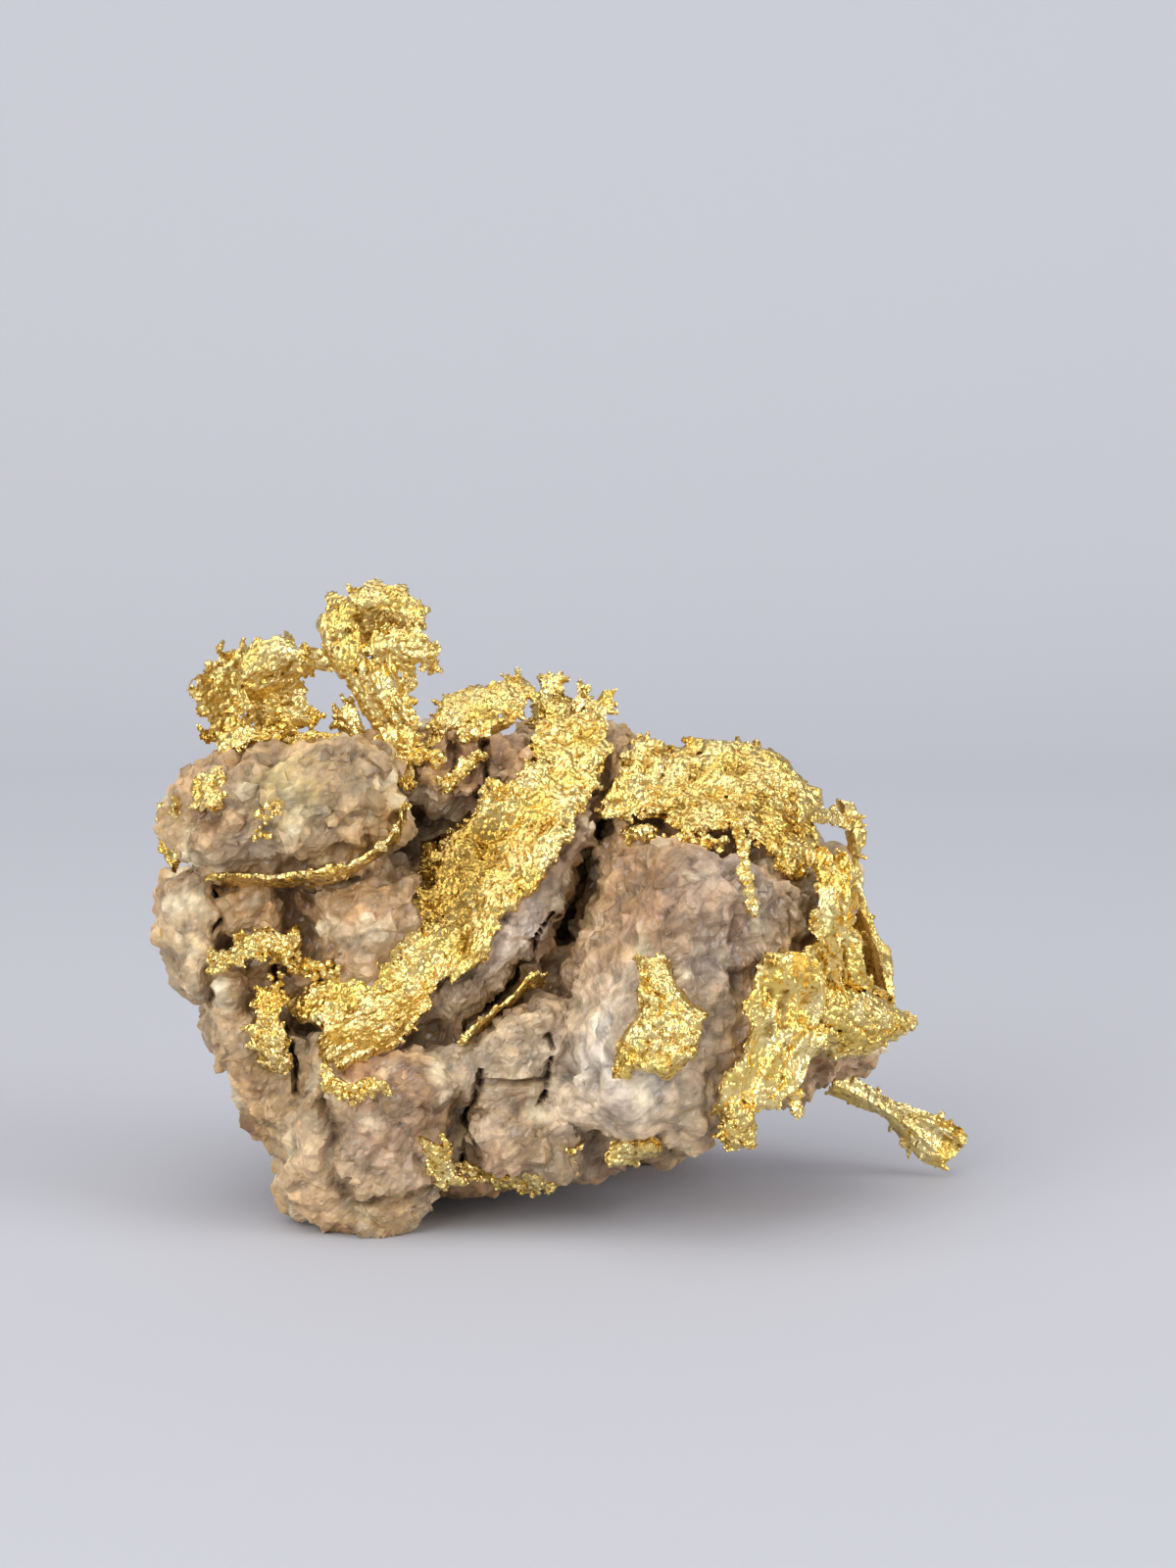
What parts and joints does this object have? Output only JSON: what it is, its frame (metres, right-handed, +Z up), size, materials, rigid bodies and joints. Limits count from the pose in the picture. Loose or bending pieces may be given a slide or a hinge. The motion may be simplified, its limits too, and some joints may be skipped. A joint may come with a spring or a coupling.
{
  "type": "leaf gold specimen",
  "caption": "Small lump of sugary quartz split by open fissures, with crystallised leaf gold along the fissures, over the crest and down one side.",
  "frame": {"origin": "under the middle of the specimen, on the surface that it stands on", "axes": "+Z up, +X along the specimen's length towards the spur, the display side faces -Y"},
  "size_m": [0.0206, 0.0123, 0.0154],
  "materials": {
    "quartz": "sugary broken quartz, pinkish grey-brown, half dull with small bright facets",
    "gold": "native gold, bright metal in crinkled leaves covered in small crystals"
  },
  "bodies": {
    "root": {"quartz_matrix": "quartz", "gold_leaf_centre": "gold", "gold_leaf_left_fan": "gold", "gold_leaf_top_fan": "gold", "gold_leaf_notch": "gold", "gold_leaf_peak": "gold", "gold_leaf_crest": "gold", "gold_leaf_right_face": "gold", "gold_leaf_right_curl": "gold", "gold_leaf_front_fold": "gold", "gold_spur": "gold", "gold_patch_front": "gold", "gold_seam_shoulder": "gold", "gold_seam_fissure": "gold", "gold_clump_left_edge": "gold", "gold_clump_shoulder": "gold", "gold_clump_left_low": "gold", "gold_clump_hip": "gold", "gold_clump_keel_left": "gold", "gold_clump_keel_middle": "gold", "gold_clump_keel_right": "gold", "gold_clump_foot": "gold"}
  },
  "joints": []
}
